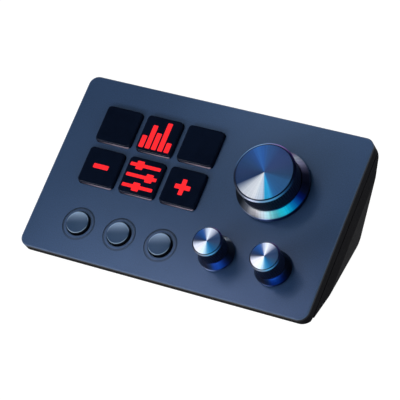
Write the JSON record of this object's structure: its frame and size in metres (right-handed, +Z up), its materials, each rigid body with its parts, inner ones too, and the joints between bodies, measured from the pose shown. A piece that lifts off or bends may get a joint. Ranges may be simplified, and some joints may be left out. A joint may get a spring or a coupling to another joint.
{
  "type": "macro keypad",
  "caption": "Wedge-shaped desk keypad with a tilted metal faceplate, display keys, round push buttons and push-and-turn knobs.",
  "frame": {"origin": "centre of the bounding box, on the desk under the feet", "axes": "+X to the keypad's right, +Y to its rear, +Z up"},
  "size_m": [0.13, 0.0726, 0.0465],
  "materials": {
    "plate": "fine satin, anodised slate blue",
    "case": "fine matt",
    "rubber": "matt",
    "steel": "plated",
    "board": "solder mask",
    "black_plastic": "moulded",
    "display": "polished",
    "ribbon": "film",
    "silicone": "soft matt",
    "collar": "satin, anodised slate blue",
    "button": "satin dome, slate blue",
    "key_cap": "polished, nearly black",
    "knob_grip": "knurled, dark anodised",
    "knob_disc": "spun face with a bright edge",
    "knob_skirt": "smooth, bright"
  },
  "bodies": {
    "root": {"faceplate": "plate", "upper_housing": "case", "lower_housing": "case", "front_foot": "rubber", "rear_foot": "rubber", "case_screws": "steel", "board_screws": "steel", "main_board": "board", "port_board": "board", "board_link": "black_plastic", "display_panel": "display", "display_ribbon": "ribbon", "ribbon_socket": "black_plastic", "usb_socket": "steel", "key_guide": "black_plastic", "key_pad": "silicone", "encoder_washers": "steel", "encoder_nuts": "steel", "button_1_collar": "collar", "button_2_collar": "collar", "button_3_collar": "collar", "button_1_switch": "black_plastic", "button_2_switch": "black_plastic", "button_3_switch": "black_plastic", "main_encoder": "black_plastic", "left_encoder": "black_plastic", "right_encoder": "black_plastic"},
    "key_1": {"key_1_cap": "key_cap"},
    "key_2": {"key_2_cap": "key_cap"},
    "key_3": {"key_3_cap": "key_cap"},
    "key_4": {"key_4_cap": "key_cap"},
    "key_5": {"key_5_cap": "key_cap"},
    "key_6": {"key_6_cap": "key_cap"},
    "button_1": {"button_1_cap": "button", "button_1_plunger": "black_plastic"},
    "button_2": {"button_2_cap": "button", "button_2_plunger": "black_plastic"},
    "button_3": {"button_3_cap": "button", "button_3_plunger": "black_plastic"},
    "main_pusher": {"main_plunger": "black_plastic"},
    "main_knob": {"main_shaft": "steel", "main_insert": "black_plastic", "main_grip": "knob_grip", "main_disc": "knob_disc", "main_skirt": "knob_skirt"},
    "left_pusher": {"left_plunger": "black_plastic"},
    "left_knob": {"left_shaft": "steel", "left_insert": "black_plastic", "left_grip": "knob_grip", "left_disc": "knob_disc"},
    "right_pusher": {"right_plunger": "black_plastic"},
    "right_knob": {"right_shaft": "steel", "right_insert": "black_plastic", "right_grip": "knob_grip", "right_disc": "knob_disc"}
  },
  "joints": [
    {"name": "key_1_press", "type": "slide", "parent": "root", "child": "key_1", "axis": [0, 0.4695, -0.8829], "range_m": [0, 0.001], "stiffness_N_per_m": 300, "springref_m": -0.0007},
    {"name": "key_2_press", "type": "slide", "parent": "root", "child": "key_2", "axis": [0, 0.4695, -0.8829], "range_m": [0, 0.001], "stiffness_N_per_m": 300, "springref_m": -0.0007},
    {"name": "key_3_press", "type": "slide", "parent": "root", "child": "key_3", "axis": [0, 0.4695, -0.8829], "range_m": [0, 0.001], "stiffness_N_per_m": 300, "springref_m": -0.0007},
    {"name": "key_4_press", "type": "slide", "parent": "root", "child": "key_4", "axis": [0, 0.4695, -0.8829], "range_m": [0, 0.001], "stiffness_N_per_m": 300, "springref_m": -0.0007},
    {"name": "key_5_press", "type": "slide", "parent": "root", "child": "key_5", "axis": [0, 0.4695, -0.8829], "range_m": [0, 0.001], "stiffness_N_per_m": 300, "springref_m": -0.0007},
    {"name": "key_6_press", "type": "slide", "parent": "root", "child": "key_6", "axis": [0, 0.4695, -0.8829], "range_m": [0, 0.001], "stiffness_N_per_m": 300, "springref_m": -0.0007},
    {"name": "button_1_press", "type": "slide", "parent": "root", "child": "button_1", "axis": [0, 0.4695, -0.8829], "range_m": [0, 0.0007], "stiffness_N_per_m": 400, "springref_m": -0.0006},
    {"name": "button_2_press", "type": "slide", "parent": "root", "child": "button_2", "axis": [0, 0.4695, -0.8829], "range_m": [0, 0.0007], "stiffness_N_per_m": 400, "springref_m": -0.0006},
    {"name": "button_3_press", "type": "slide", "parent": "root", "child": "button_3", "axis": [0, 0.4695, -0.8829], "range_m": [0, 0.0007], "stiffness_N_per_m": 400, "springref_m": -0.0006},
    {"name": "main_knob_press", "type": "slide", "parent": "root", "child": "main_pusher", "axis": [0, 0.4695, -0.8829], "range_m": [0, 0.0005], "stiffness_N_per_m": 2000, "springref_m": -0.001},
    {"name": "main_knob_turn", "type": "hinge", "parent": "main_pusher", "child": "main_knob", "pos_m": [0.0321, 0.0075, 0.02864], "axis": [0, -0.4695, 0.8829], "continuous": true},
    {"name": "left_knob_press", "type": "slide", "parent": "root", "child": "left_pusher", "axis": [0, 0.4695, -0.8829], "range_m": [0, 0.0005], "stiffness_N_per_m": 2000, "springref_m": -0.001},
    {"name": "left_knob_turn", "type": "hinge", "parent": "left_pusher", "child": "left_knob", "pos_m": [0.0201, -0.02137, 0.01329], "axis": [0, -0.4695, 0.8829], "continuous": true},
    {"name": "right_knob_press", "type": "slide", "parent": "root", "child": "right_pusher", "axis": [0, 0.4695, -0.8829], "range_m": [0, 0.0005], "stiffness_N_per_m": 2000, "springref_m": -0.001},
    {"name": "right_knob_turn", "type": "hinge", "parent": "right_pusher", "child": "right_knob", "pos_m": [0.04505, -0.02137, 0.01329], "axis": [0, -0.4695, 0.8829], "continuous": true}
  ]
}
